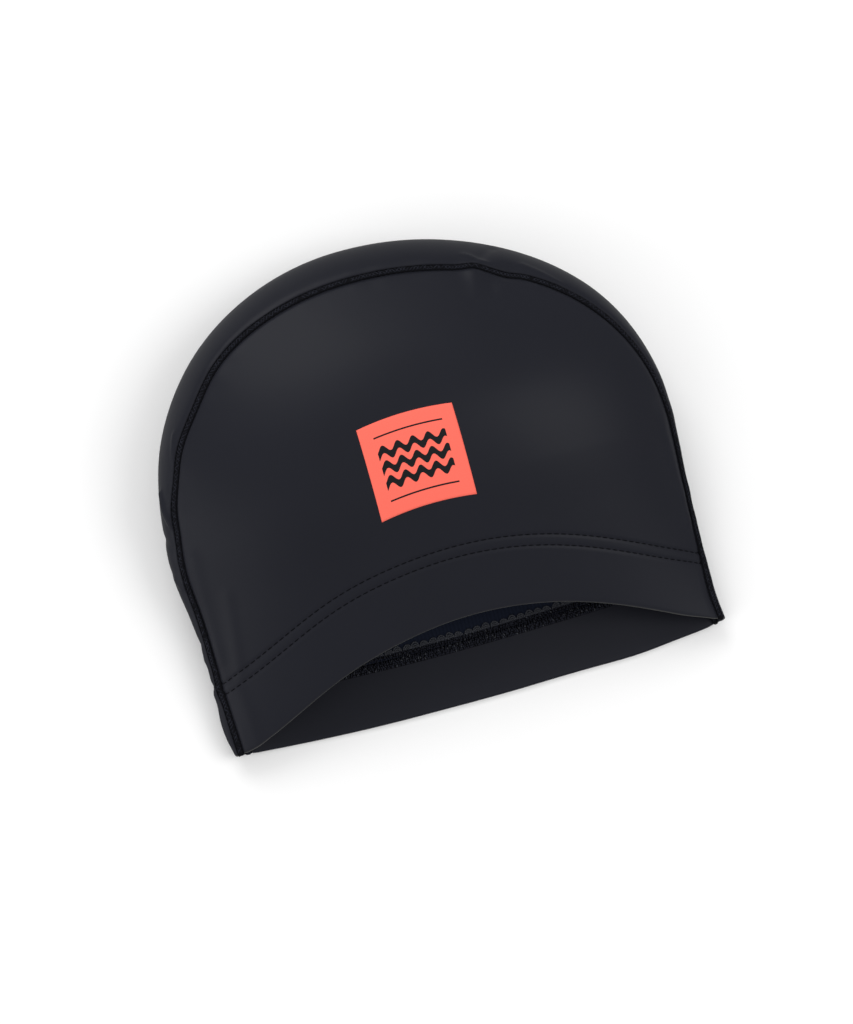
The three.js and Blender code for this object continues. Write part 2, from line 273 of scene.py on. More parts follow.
# %% Dip beside a seam, small ripples along it, and the slow wave of the whole face
DIP, DIP_REACH = 0.3, 1.3
RIPPLE, RIPPLE_REACH = 0.28, 6
RIPPLES_PER_MM = 0.13
WAVE, WAVES_PER_MM = 0.16, 0.03
NOISE_APART, NOISE_LEVEL = 7.7, 1.5  # keep the two seams' ripples from being alike


def sewn_relief(point, seams):
    relief = WAVE * noise.noise(point * WAVES_PER_MM)
    for k, name in enumerate(seams):
        tree, lengths = SEAM_TREES[name]
        _, index, distance = tree.find(point)
        beyond = max(distance - BORDER, 0)
        relief -= DIP * math.exp(-((beyond / DIP_REACH) ** 2))
        along = lengths[index] * RIPPLES_PER_MM
        ripple = noise.noise(Vector((along, NOISE_APART * k, NOISE_LEVEL)))
        relief += RIPPLE * ripple * math.exp(-((distance / RIPPLE_REACH) ** 2)) * min(beyond, 1)
    return relief


print("relief beside the crown:", round(sewn_relief(seam_frame("front", 0.0)[0], SEAMS), 2), "mm")

# %% Puckers: where each one is, how far it reaches, and how far it pushes the cloth and the seam
PUCKERS = (
    ((40, 160, 42), 32, (0, -1.0, -0.4)),  # where the seam turns at the crown
    ((39, 161, 43), 5, (0, 1.3, 0.9)),
    ((51, 156, 42), 5, (0, -0.8, -0.5)),
    ((-104, 27, 12), 4, (-0.8, 0, 0)),  # where the hem's stitches meet the left seam
    ((-104, 74, 22), 14, (-1.6, 0, 0)),  # the left seam's small waves
    ((-104, 98, 31), 7, (-0.8, 0, 0)),
    ((-103, 113, 35), 8, (0.7, 0, 0)),
    ((-84, 134, 40), 15, (1.3, -1.0, 0)),
    ((95.5, -1, 1.5), 10, (4.5, -0.8, 0)),  # the back hem's right corner
    ((97, 2, 10), 10, (0, 1.3, 0)),
    ((68, -2, 0), 24, (0, -1.5, 0)),  # the back hem's right part hangs out further
)


def puckered(point):
    moved = point.copy()
    for place, reach, push in PUCKERS:
        moved += Vector(push) * math.exp(-(((point - Vector(place)).length / reach) ** 2))
    return moved


print("puckers:", len(PUCKERS))

# %% Creases: soft folds from one place to another, with half width and height (below 0 is a valley)
FRONT_CREASES = (  # places seen from above
    ((38.5, 159), (36, 151), 2.6, 0.3),  # below the crown's kink
    ((45, 157), (42.5, 150), 2.4, -0.5),
    ((-98.2, 78), (-99.4, 38), 2.9, 0.75),  # beside the left seam
    ((-90, 60), (-93, 31), 2.6, 0.45),
    ((-95, 24), (-93, 3), 3.0, 0.4),
    ((98, 82), (100, 42), 2.6, 0.45),  # the roll beside the right seam
)
STRIP_CREASES = (  # places as a position along the seam and a share of the way across the strip
    ((0.155, 0.14), (0.192, 0.04), 1.1, 0.45),  # at the crown
    ((0.25, 0.12), (0.32, 0.03), 1.1, 0.4),
    ((0.17, 0.0), (0.2, 0.3), 2.2, -0.5),
    ((-0.438, 0.13), (-0.49, 0.02), 1.0, 0.5),  # down the left side
    ((-0.541, 0.23), (-0.602, 0.01), 1.1, 1.2),
    ((-0.6, 0.5), (-0.632, 0.06), 2.0, -0.6),
    ((-0.666, 0.25), (-0.67, 0.0), 1.8, -0.3),
    ((-0.682, 0.14), (-0.7, 0.03), 1.1, 0.6),
    ((-0.79, 0.5), (-0.8, 0.1), 1.8, -0.4),
    ((-0.82, 0.5), (-0.83, 0.1), 2.0, 0.4),
    ((-0.872, 0.6), (-0.875, 0.0), 2.0, -0.9),
)


def creases_on(surface, table, steps=8):
    """Each crease as a chain of points that follows its surface."""
    creases = []
    for start, end, half_width, height in table:
        places = [[lerp(a, b, i / steps) for a, b in zip(start, end)] for i in range(steps + 1)]
        creases.append(([surface(*place) for place in places], half_width, height))
    return creases


print("creases:", len(FRONT_CREASES), "on the front panel,", len(STRIP_CREASES), "on the strip")

# %% How far the creases lift a place of the cloth
CREASE_REACH = 3  # half widths, past which a crease is nothing
CREASE_FADE = 1.5  # distance over which a crease dies away towards a seam band


def distance_to_chain(point, chain):
    nearest = math.inf
    for start, end in zip(chain, chain[1:]):
        along = end - start
        t = min(max((point - start).dot(along) / along.length_squared, 0), 1)
        nearest = min(nearest, (point - start - along * t).length)
    return nearest


def crease_relief(point, creases):
    relief = 0.0
    for chain, half_width, height in creases:
        reach = (chain[0] - chain[-1]).length + CREASE_REACH * half_width
        if (point - chain[len(chain) // 2]).length < reach:
            relief += height * math.exp(-((distance_to_chain(point, chain) / half_width) ** 2))
    return relief


def cloth_relief(point, seams, creases):
    """What sewing and creases do to a place of the cloth."""
    relief, crease = sewn_relief(point, seams), crease_relief(point, creases)
    if crease:
        nearest = min(SEAM_TREES[name][0].find(point)[2] for name in seams)
        relief += crease * min(max((nearest - BORDER) / CREASE_FADE, 0), 1)
    return relief


FOLDS = {
    "front": creases_on(lambda x, y: face_point("front", Vector((x, y, 0))), FRONT_CREASES),
    "back": [],
}
place = face_point("front", Vector((-98.8, 58, 0)))
print("the long left crease lifts the cloth", round(crease_relief(place, FOLDS["front"]), 2), "mm")

# %% [markdown]
# ## Materials first
# One small function adds a node with its settings and links, and one turns the given hex colours
# into the linear numbers that a shader needs. A swim cap has few finishes: the cloth's coated
# outside and its plain inside, three kinds of thread, and the ink of the print.

# %% Two helpers for materials
def linear(hex_colour):
    def channel(c):
        return c / 12.92 if c <= 0.04045 else ((c + 0.055) / 1.055) ** 2.4

    channels = [channel(int(hex_colour[i : i + 2], 16) / 255) for i in (1, 3, 5)]
    return (*channels, 1.0)


MIX_FIRST, MIX_SECOND, MIX_RESULT = 6, 7, 2  # a Mix node's sockets for colours


def add_node(material, kind, settings=(), links=()):
    """A node of one kind, its settings by attribute or socket, and the sockets that feed it."""
    node = material.node_tree.nodes.new(kind)
    for name, value in dict(settings).items():
        if isinstance(name, str) and hasattr(node, name):
            setattr(node, name, value)
        else:
            node.inputs[name].default_value = value
    for socket, source in dict(links).items():
        material.node_tree.links.new(source, node.inputs[socket])
    return node


def new_material(name):
    material = bpy.data.materials.new(name)
    material.use_nodes = True
    material.node_tree.nodes.clear()
    return material


def finish_material(material, shader):
    add_node(material, "ShaderNodeOutputMaterial", links={"Surface": shader.outputs["BSDF"]})
    return material


print("near-black cloth in linear light:", [round(c, 4) for c in linear("#1c1f23")])

# %% [markdown]
# ### Coated knit, outside
# The outside is polyurethane film on a stretch knit. It is almost black, smooth and matte, and the
# fine knit below shows through only as a very faint grain. The real stitches of the knit are about
# 0.3 mm apart, too fine for the picture, so the grain is drawn at about 0.7 mm. Over a hand's width
# the film is a little uneven in tone and gloss. Along the outer side of the fold at the opening, a
# pale olive-grey line is painted into the colour as a painted highlight, carried by a vertex
# attribute.

# %% The coated cloth
GRAINS_PER_METRE = 1400.0
CLOUDS_PER_METRE = 22.0
GRAIN_HEIGHT = 0.00004


def coated_cloth():
    material = new_material("polyurethane_coated_knit")
    uv = add_node(material, "ShaderNodeUVMap", {"uv_map": "cloth"})
    grain = add_node(
        material,
        "ShaderNodeTexNoise",
        {"Scale": GRAINS_PER_METRE, "Detail": 2.0},
        {"Vector": uv.outputs["UV"]},
    )
    cloud = add_node(
        material,
        "ShaderNodeTexNoise",
        {"Scale": CLOUDS_PER_METRE, "Detail": 3.0},
        {"Vector": uv.outputs["UV"]},
    )
    colour = add_node(
        material,
        "ShaderNodeMix",
        {"data_type": "RGBA", MIX_FIRST: linear("#202127"), MIX_SECOND: linear("#22232a")},
        {"Factor": cloud.outputs["Fac"]},
    )
    # painted highlight: a pale olive-grey line mixed into the colour along the outer side of the
    # hem's fold
    fold_highlight = add_node(material, "ShaderNodeAttribute", {"attribute_name": "fold_highlight"})
    with_fold_highlight = add_node(
        material,
        "ShaderNodeMix",
        {"data_type": "RGBA", MIX_SECOND: linear("#4c4c49")},
        {"Factor": fold_highlight.outputs["Fac"], MIX_FIRST: colour.outputs[MIX_RESULT]},
    )
    rough = add_node(
        material,
        "ShaderNodeMapRange",
        {"To Min": 0.36, "To Max": 0.43},
        {"Value": cloud.outputs["Fac"]},
    )
    bump = add_node(
        material,
        "ShaderNodeBump",
        {"Strength": 0.25, "Distance": GRAIN_HEIGHT},
        {"Height": grain.outputs["Fac"]},
    )
    shader = add_node(
        material,
        "ShaderNodeBsdfPrincipled",
        {"IOR": 1.45, "Specular IOR Level": 0.123},
        {
            "Base Color": with_fold_highlight.outputs[MIX_RESULT],
            "Roughness": rough.outputs["Result"],
            "Normal": bump.outputs["Normal"],
        },
    )
    return finish_material(material, shader)


CLOTH_OUTSIDE = coated_cloth()
print("made", CLOTH_OUTSIDE.name)

# %% [markdown]
# ### Knit, inside
# The inside of the cloth has no film. It is a navy knit whose ribs run from the hem to the crown,
# and its short fibres make it quite matte. Real ribs are about 0.8 mm apart, too fine for the
# picture, and here they are drawn about 1.6 mm apart: a wave texture has 20 radians for each unit
# of its scale.

# %% The inside of the cloth
RIB_SCALE = 200.0
RIB_HEIGHT = 0.00015


def inner_knit():
    material = new_material("navy_polyamide_knit")
    uv = add_node(material, "ShaderNodeUVMap", {"uv_map": "cloth"})
    ribs = add_node(
        material,
        "ShaderNodeTexWave",
        {
            "bands_direction": "X",
            "Scale": RIB_SCALE,
            "Distortion": 1.2,
            "Detail": 2.0,
            "Detail Scale": 3.0,
        },
        {"Vector": uv.outputs["UV"]},
    )
    colour = add_node(
        material,
        "ShaderNodeMix",
        {"data_type": "RGBA", MIX_FIRST: linear("#171b27"), MIX_SECOND: linear("#1a1f2c")},
        {"Factor": ribs.outputs["Fac"]},
    )
    bump = add_node(
        material,
        "ShaderNodeBump",
        {"Strength": 0.5, "Distance": RIB_HEIGHT},
        {"Height": ribs.outputs["Fac"]},
    )
    shader = add_node(
        material,
        "ShaderNodeBsdfPrincipled",
        {"Roughness": 0.85, "Specular IOR Level": 0.05},
        {"Base Color": colour.outputs[MIX_RESULT], "Normal": bump.outputs["Normal"]},
    )
    return finish_material(material, shader)


CLOTH_INSIDE = inner_knit()
print("made", CLOTH_INSIDE.name)

# %% [markdown]
# ### Sewing thread
# The seams are sewn with textured polyamide, a soft crimped yarn that spreads and covers. It is
# matte and a little fibrous, with a fibre pattern of about 0.4 mm. One function makes the black
# needle thread, the charcoal thread that crosses over the seams, and the grey thread of the loops
# inside the hem.

# %% Threads
FIBRES_PER_METRE = 2600.0
FIBRE_HEIGHT = 0.0001


def sewing_thread(name, dark, pale):
    material = new_material(name)
    coordinates = add_node(material, "ShaderNodeTexCoord")
    fibre = add_node(
        material,
        "ShaderNodeTexNoise",
        {"Scale": FIBRES_PER_METRE, "Detail": 2.0},
        {"Vector": coordinates.outputs["Object"]},
    )
    colour = add_node(
        material,
        "ShaderNodeMix",
        {"data_type": "RGBA", MIX_FIRST: linear(dark), MIX_SECOND: linear(pale)},
        {"Factor": fibre.outputs["Fac"]},
    )
    bump = add_node(
        material,
        "ShaderNodeBump",
        {"Strength": 0.6, "Distance": FIBRE_HEIGHT},
        {"Height": fibre.outputs["Fac"]},
    )
    shader = add_node(
        material,
        "ShaderNodeBsdfPrincipled",
        {"Roughness": 0.8, "Specular IOR Level": 0.08},
        {"Base Color": colour.outputs[MIX_RESULT], "Normal": bump.outputs["Normal"]},
    )
    return finish_material(material, shader)


SEAM_THREAD = sewing_thread("textured_black_polyamide_thread", "#07070a", "#101116")
COVER_THREAD = sewing_thread("charcoal_polyamide_thread", "#1a1b23", "#2a2c35")
LOOP_THREAD = sewing_thread("grey_overlock_thread", "#2d2e33", "#47494f")
print("made", [thread.name for thread in (SEAM_THREAD, COVER_THREAD, LOOP_THREAD)])

# %% [markdown]
# ## Cloth as a moved grid
# `create_grid` gives a flat grid with clean rows, which is just what a cut piece of cloth is. Each
# vertex is then put in its place, and a UV map in metres keeps the grain running along the cloth.
# Solidify gives the sheet its thickness on the inside, where a second material slot shows the
# uncoated knit.

# %% A piece of cloth from a grid
def finished_object(name, maker, materials):
    mesh = bpy.data.meshes.new(name)
    maker.to_mesh(mesh)
    maker.free()
    for material in materials:
        mesh.materials.append(material)
    mesh.shade_smooth()
    piece = bpy.data.objects.new(name, mesh)
    bpy.context.scene.collection.objects.link(piece)
    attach(piece, "root")
    return piece


def fold_highlight_share(row):
    """How much painted highlight a row gets: only the outer side of the fold has it."""
    return math.sin(row[-1]) ** 3 if row[0] == "fold" and row[-1] <= math.pi / 2 else 0.0


def cloth_piece(name, columns, rows, place, seams, creases):
    """A grid whose vertex (u, row) goes where place(u, row) says: a point, its normal and UV."""
    maker = bmesh.new()
    bmesh.ops.create_grid(maker, x_segments=columns, y_segments=len(rows) - 1, size=1.0)
    uv_of, normal_of = {}, {}
    fold_highlight = maker.verts.layers.float.new("fold_highlight")
    for vert in maker.verts:
        row = rows[round((vert.co.y + 1) / 2 * (len(rows) - 1))]
        point, normal, uv = place((vert.co.x + 1) / 2, row)
        point = point + normal * cloth_relief(point, seams, creases)
        vert.co = to_frame(puckered(point))
        # painted highlight along the outer side of the fold, stored per vertex for the cloth's
        # colour
        vert[fold_highlight] = fold_highlight_share(row)
        uv_of[vert.index], normal_of[vert.index] = uv, normal
    maker.normal_update()
    facing = sum(face.normal.dot(normal_of[face.verts[0].index]) for face in maker.faces)
    if facing < 0:
        bmesh.ops.reverse_faces(maker, faces=maker.faces)
    layer = maker.loops.layers.uv.new("cloth")
    for face in maker.faces:
        for loop in face.loops:
            loop[layer].uv = uv_of[loop.vert.index]
    area = sum(face.calc_area() for face in maker.faces)
    piece = finished_object(name, maker, (CLOTH_OUTSIDE, CLOTH_INSIDE))
    wall = piece.modifiers.new("cloth thickness", "SOLIDIFY")
    wall.thickness, wall.offset = CLOTH * MM, -1
    wall.material_offset = 1
    print(name, "has", len(piece.data.vertices), "vertices and", round(area * 1e4), "cm2 of cloth")
    return piece, area


# %% [markdown]
# ## The panels
# A panel is the hem, up to 24 mm from the opening, and the body above it. Both are four-sided
# patches, filled from their four edges. The edge of the opening is a fair curve, and then drawn
# from it a little, as the cloth's pull does. The cloth turns round this edge and comes back inside
# as the flap of the hem, so one grid runs from the flap's raw edge, round the fold, and up to the
# crown.

# %% Edges of a panel's opening
def hem_corner(name):
    return border(name, 1.0)


def from_corner(name, x):
    return max(1 - (x / hem_corner(name).x) ** 2, 0)


def edge_y(name, x):
    return hem_corner(name).y + SEAMS[name]["bow"] * from_corner(name, x) ** SEAMS[name]["power"]


def edge_stretch(name, x):
    bow, power = SEAMS[name]["bow"], SEAMS[name]["power"]
    slope = 2 * bow * power * x * from_corner(name, x) ** (power - 1) / hem_corner(name).x ** 2
    return math.hypot(1, slope)


def plan_at(name, x, distance):
    return Vector((x, edge_y(name, x) + distance * edge_stretch(name, x), 0))


print("middle of the front edge:", round(edge_y("front", 0), 1), "mm above the corners")

# %% The two patches of a panel
EDGE_DRAW = {  # how far the cloth's pull draws the edge of the opening from its fair curve, in mm
    "at": (-101, -84, -55, -27, 0, 24, 48, 71, 84, 101),
    "front": (0, -1.2, -1.4, -2.3, -2.3, -1.7, -0.4, 1.3, 1.6, 0),
    "back": (0,) * 10,
}
STRAIGHT_SHARE = 0.25  # share of each arch that counts as side


@functools.lru_cache(maxsize=None)
def hem_along(name):
    along = 0.0
    for _ in range(4):  # four rounds settle it
        along = SHOULDER_ALONG * plan_at(name, border(name, 1 - along).x, HEM_WIDTH).y / SHOULDER_Y
    return along


SPLIT_ALONG = SHOULDER_ALONG + (1 - SHOULDER_ALONG) * STRAIGHT_SHARE


@functools.lru_cache(maxsize=None)
def patch_edge(name, patch, edge, t):
    start, end = (0.0, hem_along(name)) if patch == "hem" else (hem_along(name), SPLIT_ALONG)
    if edge in ("left", "right"):
        return border(name, (1 - lerp(start, end, t)) * (-1 if edge == "left" else 1))
    if patch == "body" and edge == "top":
        return border(name, lerp(SPLIT_ALONG - 1, 1 - SPLIT_ALONG, t))
    if (patch, edge) == ("hem", "bottom"):
        fair = plan_at(name, lerp(-1, 1, t) * hem_corner(name).x, 0)
        return fair + Vector((0, column(EDGE_DRAW, name, fair.x), 0))
    return plan_at(name, lerp(-1, 1, t) * border(name, 1 - hem_along(name)).x, HEM_WIDTH)


def patch_plan(name, patch, u, v):
    bottom, top = patch_edge(name, patch, "bottom", u), patch_edge(name, patch, "top", u)
    left, right = patch_edge(name, patch, "left", v), patch_edge(name, patch, "right", v)
    low = patch_edge(name, patch, "bottom", 0.0).lerp(patch_edge(name, patch, "bottom", 1.0), u)
    high = patch_edge(name, patch, "top", 0.0).lerp(patch_edge(name, patch, "top", 1.0), u)
    return bottom.lerp(top, v) + left.lerp(right, u) - low.lerp(high, v)


print("hem ends at", round(hem_along("front"), 3), "of the front half seam")

# %% [markdown]
# ### Stitch rows
# Two rows of lockstitches, about 4 mm apart, hold the hem down, and each one pulls a shallow
# channel into the cloth. They keep about the same distance from the edge, but swell a little from
# it at the left, and drop away from it beside the seams.

# %% Where the two rows run
ROWS = (20.5, 24.6)  # distance from the edge, seen from above
ROW_DROP, ROW_DROP_SHARPNESS, ROW_HALF = 4.0, 6, 100
ROW_SWELL, ROW_SWELL_AT, ROW_SWELL_REACH = 1.1, -52, 26
CHANNEL, CHANNEL_REACH = 0.3, 0.7


def row_distance(row, x):
    corner = abs(x / ROW_HALF) ** ROW_DROP_SHARPNESS
    swell = ROW_SWELL * math.exp(-(((x - ROW_SWELL_AT) / ROW_SWELL_REACH) ** 2))
    return ROWS[row] + ROW_DROP * corner + swell * (1 - corner)


def channel_depth(name, plan):
    distance = (plan.y - edge_y(name, plan.x)) / edge_stretch(name, plan.x)
    offsets = [distance - row_distance(row, plan.x) for row in (0, 1)]
    return CHANNEL * sum(math.exp(-((offset / CHANNEL_REACH) ** 2)) for offset in offsets)


print("channel in a row:", round(channel_depth("front", plan_at("front", 0, ROWS[0])), 2), "mm")

# %% Place of one vertex of a panel
def turned_edge(edge, normal, outward, angle):
    """A point of the fold, from the outer face at angle 0 to the flap at angle pi."""
    point = edge + outward * (math.sin(angle) - 1) * FOLD_RADIUS
    point += normal * (math.cos(angle) - 1) * FOLD_RADIUS
    return point, (normal * math.cos(angle) + outward * math.sin(angle)).normalized()


def panel_place(name, u, row):
    kind, t = row
    patch = "body" if kind == "body" else "hem"
    plan = patch_plan(name, patch, u, 0.0 if kind == "fold" else t)
    point, normal = face_point(name, plan), face_normal(name, plan)
    cloth_v = plan.y
    if kind == "fold":
        inside = face_point(name, patch_plan(name, "hem", u, FOLD_RADIUS / HEM_WIDTH))
        outward = (point - inside) - normal * (point - inside).dot(normal)
        point, normal = turned_edge(point, normal, outward.normalized(), t)
        cloth_v = plan.y - t * FOLD_RADIUS
    elif kind == "flap":
        point, normal = point - normal * HEM_DEPTH, -normal
        cloth_v = 2 * plan_at(name, plan.x, 0).y - plan.y - math.pi * FOLD_RADIUS
    else:
        point = point - normal * channel_depth(name, plan)
    return point, normal, (plan.x * MM, cloth_v * MM)


print("edge point:", panel_place("front", 0.5, ("hem", 0.05))[0])

# %% Rows of a panel, closer together where the stitches pull the cloth
def spread(start, end, count):
    return [lerp(start, end, i / count) for i in range(count)]


FOLD_V = FOLD_RADIUS / HEM_WIDTH
FOLD_STEPS = 8
HEM_FINE, BODY_FINE = 0.75, 0.055  # shares of hem and body between which the stitches pull
FLAP = [("flap", t) for t in spread(1.0, FOLD_V, 12)]
FOLD = [("fold", t) for t in spread(math.pi, 0.0, FOLD_STEPS)]
HEM = [("hem", t) for t in spread(FOLD_V, HEM_FINE, 14) + spread(HEM_FINE, 1.0, 12)]
BODY = [("body", t) for t in spread(0.0, BODY_FINE, 12) + spread(BODY_FINE, 1.0, 76) + [1.0]]
PANEL_ROWS = FLAP + FOLD + HEM + BODY
print("rows of a panel:", len(PANEL_ROWS))


# %% The two panels
def panel_cloth(name, columns):
    return cloth_piece(
        f"{name}_cloth",
        columns,
        PANEL_ROWS,
        lambda u, row: panel_place(name, u, row),
        (name,),
        FOLDS[name],
    )


front_cloth, front_area = panel_cloth("front", columns=190)
back_cloth, back_area = panel_cloth("back", columns=150)
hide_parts("front_panel")
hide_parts("back_panel")

# %% [markdown]
# ## The crown strip
# Between the seams the cloth swells out in a soft section, which is a Bezier curve: it leaves each
# seam in the direction of the panel beside it, so that panel and strip meet smoothly over the seam.
# A loft between a few drawn sections would do too, but a section worked out at each station follows
# both seams exactly. The same fold and flap close the strip's two ends at the opening.

# %% A section of the strip
END_SHARE = SHOULDER_ALONG * FOLD_RADIUS / SHOULDER_Y  # the part of a seam that the fold takes up
STRIP_HALF_LENGTH, STRIP_WIDTH = 220, 40  # rough measures, for the UV map


def strip_point(position, t):
    front_centre, front_across, _ = seam_frame("front", position)
    back_centre, back_across, _ = seam_frame("back", position)
    along = 1 - abs(position)
    start, end = front_centre + front_across * BORDER, back_centre + back_across * BORDER
    upper = start + front_across * column(STRIP_SWELL, "left" if position < 0 else "right", along)
    lower = end + back_across * column(STRIP_SWELL, "lower", along)
    s = 1 - t
    point = start * s**3 + upper * (3 * s * s * t) + lower * (3 * s * t * t) + end * t**3
    tangent = (upper - start) * (s * s) + (lower - upper) * (2 * s * t) + (end - lower) * (t * t)
    outward = seam_outward("front", position)
    normal = Vector((outward.y, -outward.x, 0)).cross(tangent).normalized()
    return point, normal


def strip_place(t, column_key):
    kind, position, angle = column_key
    point, normal = strip_point(position, t)
    if kind == "fold":
        inside = strip_point(position * (1 - END_SHARE), t)[0]
        outward = (point - inside) - normal * (point - inside).dot(normal)
        point, normal = turned_edge(point, normal, outward.normalized(), angle)
    elif kind == "flap":
        point, normal = point - normal * HEM_DEPTH, -normal
    return point, normal, (position * STRIP_HALF_LENGTH * MM, t * STRIP_WIDTH * MM)


print("strip at the crown:", strip_point(0.0, 0.5)[0])

# %% Stations along a seam: flap, fold, the outside from corner to corner, fold and flap
FLAP_STATIONS = 14
STRIP_STATIONS, STRIP_COLUMNS = 420, 44  # along the outside, and from seam to seam


def seam_stations(count):
    end, flap = 1 - END_SHARE, hem_along("front")
    inner = [1 - flap + i * (flap - END_SHARE) / FLAP_STATIONS for i in range(FLAP_STATIONS)]
    left = [("flap", -p, 0.0) for p in inner]
    left += [("fold", -1.0, lerp(math.pi, 0, i / FOLD_STEPS)) for i in range(FOLD_STEPS)]
    outside = [("outside", lerp(-end, end, i / count), 0.0) for i in range(count + 1)]
    return left + outside + [(kind, -p, angle) for kind, p, angle in reversed(left)]


crown_cloth, crown_area = cloth_piece(
    "crown_cloth",
    STRIP_COLUMNS,
    seam_stations(STRIP_STATIONS),
    strip_place,
    ("front", "back"),
    creases_on(lambda position, t: strip_point(position, t)[0], STRIP_CREASES),
)
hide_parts("crown_strip")

# %% [markdown]
# ## Seam bands
# Each seam is a flat band of thread, about 3 mm wide, over the two cut edges. Its section is a low
# ridge with a narrow groove at both sides, where the needle threads sink in. The band follows the
# fold at its ends, as the real hem is turned in after the seam is sewn.

# %% Frame at a station of a seam
def station_frame(name, station):
    kind, position, angle = station
    centre, across, normal = seam_frame(name, position)
    if kind == "fold":
        inside = seam_frame(name, position * (1 - END_SHARE))[0]
        outward = (centre - inside) - normal * (centre - inside).dot(normal)
        centre, normal = turned_edge(centre, normal, outward.normalized(), angle)
    elif kind == "flap":
        centre, normal = centre - normal * HEM_DEPTH, -normal
    return centre, across, normal


print("frame at the middle of a fold:", station_frame("front", ("fold", -1.0, math.pi / 2))[0])

# %% The two bands
BAND_SECTION = (  # across the seam, and out of the cloth
    (-1.4, -0.5), (-1.3, -0.3), (-1.05, -0.3), (-0.8, 0.05), (-0.4, 0.15),
    (0.4, 0.15), (0.8, 0.05), (1.05, -0.3), (1.3, -0.3), (1.4, -0.5),
)
BAND_DEPTH = 0.5
BAND_STATIONS = 440


def seam_band(name, node):
    stations = seam_stations(BAND_STATIONS)
    sides, steps = len(BAND_SECTION) - 1, len(stations) - 1
    maker = bmesh.new()
    bmesh.ops.create_grid(maker, x_segments=sides, y_segments=steps, size=1.0)
    wanted = None
    for vert in maker.verts:
        side, out = BAND_SECTION[round((vert.co.x + 1) / 2 * sides)]
        station = stations[round((vert.co.y + 1) / 2 * steps)]
        centre, across, normal = station_frame(name, station)
        vert.co = to_frame(puckered(centre + across * side + normal * out))
        wanted = normal if wanted is None else wanted
    maker.normal_update()
    maker.faces.ensure_lookup_table()
    if maker.faces[0].normal.dot(wanted) < 0:
        bmesh.ops.reverse_faces(maker, faces=maker.faces)
    piece = finished_object(f"{name}_seam_band", maker, (SEAM_THREAD,))
    wall = piece.modifiers.new("band depth", "SOLIDIFY")
    wall.thickness, wall.offset = BAND_DEPTH * MM, -1
    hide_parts(node)
    return piece


bands = [seam_band(name, f"{name}_seam") for name in SEAMS]
print("bands:", [band.name for band in bands])

# %% [markdown]
# ## Stitches
# A stitch is a short length of thread that bulges and sinks in at both ends. One small ball of six
# sides, stretched to a stitch, is enough for each, because there are thousands of them. The ball is
# made once, and every stitch is a transformed copy of it.

# %% Thread laid between two points
def stitch_template():
    maker = bmesh.new()
    bmesh.ops.create_uvsphere(maker, u_segments=6, v_segments=6, radius=1.0)
    mesh = bpy.data.meshes.new("stitch template")
    maker.to_mesh(mesh)
    maker.free()
    return mesh


STITCH = stitch_template()
print("a stitch has", len(STITCH.polygons), "faces")


def lay_thread(maker, start, end, normal, thickness):
    """One bulging length of thread between two points in millimetres, half sunk in its ground."""
    start, end = to_frame(puckered(start)), to_frame(puckered(end))
    along = end - start
    side = along.cross(normal).normalized() * thickness * MM / 2
    rise = side.cross(along).normalized() * thickness * MM / 2
    turn = Matrix((side, rise, along / 2)).transposed().to_4x4()
    copy = STITCH.copy()
    copy.transform(Matrix.Translation((start + end) / 2) @ turn)
    maker.from_mesh(copy)
    bpy.data.meshes.remove(copy)


def thread_object(name, maker, material):
    bmesh.ops.recalc_face_normals(maker, faces=maker.faces)
    piece = finished_object(name, maker, (material,))
    print(name, "has", len(piece.data.polygons), "faces")
    return piece


# %% [markdown]
# ### Thread over the seams
# The flat seam is covered by threads that cross from side to side, closely and a little unevenly,
# and its needle threads run in the two grooves. Each crossing thread goes from one groove at one
# station to the other groove at the next, which gives the plaited look of the real seam.

# %% Stations at equal steps along a seam
PATH_STATIONS = 1600  # close together, so that the steps come out equal


def path_frames(name, pitch):
    """Frames at equal steps along a seam, with its folds and flaps."""
    frames, last, travelled, due = [], None, 0.0, 0.0
    for station in seam_stations(PATH_STATIONS):
        frame_here = station_frame(name, station)
        travelled += (frame_here[0] - last).length if last else 0.0
        last = frame_here[0]
        if travelled >= due:
            frames.append(frame_here)
            due += pitch
    return frames


CROSSING_PITCH, CROSSING_HALF = 1.4, 0.85
print("crossings of the front seam:", len(path_frames("front", CROSSING_PITCH)))

# %% Crossing threads over the band
CROSSING_WOBBLE, CROSSING_RISE = (-0.2, 0.2), (-0.02, 0.14)
CROSSING_THICKNESS = (0.26, 0.46)


def cover_thread(name):
    maker = bmesh.new()
    frames = path_frames(name, CROSSING_PITCH)
    for here, there in zip(frames, frames[1:]):
        (centre, across, normal), (next_centre, next_across, next_normal) = here, there
        for side in (-CROSSING_HALF, CROSSING_HALF):
            wobble, rise = random.uniform(*CROSSING_WOBBLE), random.uniform(*CROSSING_RISE)
            start = centre + across * (side + wobble) + normal * rise
            end = next_centre - next_across * (side - wobble) + next_normal * rise
            lay_thread(maker, start, end, normal, random.uniform(*CROSSING_THICKNESS))
    return thread_object(f"{name}_cover_thread", maker, COVER_THREAD)


# %% A row of stitches in each groove
GROOVE_PITCH, GROOVE_AT, GROOVE_DEPTH = 2.0, 1.18, 0.16
GROOVE_GAP = 0.06  # share of the pitch left free at each end of a stitch
GROOVE_THICKNESS = 0.38


def edge_stitches(name):
    maker = bmesh.new()
    frames = path_frames(name, GROOVE_PITCH)
    for (centre, across, normal), (next_centre, next_across, _) in zip(frames, frames[1:]):
        for side in (-GROOVE_AT, GROOVE_AT):
            start = centre + across * side - normal * GROOVE_DEPTH
            end = next_centre + next_across * side - normal * GROOVE_DEPTH
            near, far = start.lerp(end, GROOVE_GAP), start.lerp(end, 1 - GROOVE_GAP)
            lay_thread(maker, near, far, normal, GROOVE_THICKNESS)
    return thread_object(f"{name}_edge_stitches", maker, SEAM_THREAD)


seam_threads = [make(name) for make in (cover_thread, edge_stitches) for name in SEAMS]
print("thread over the seams:", [piece.name for piece in seam_threads])

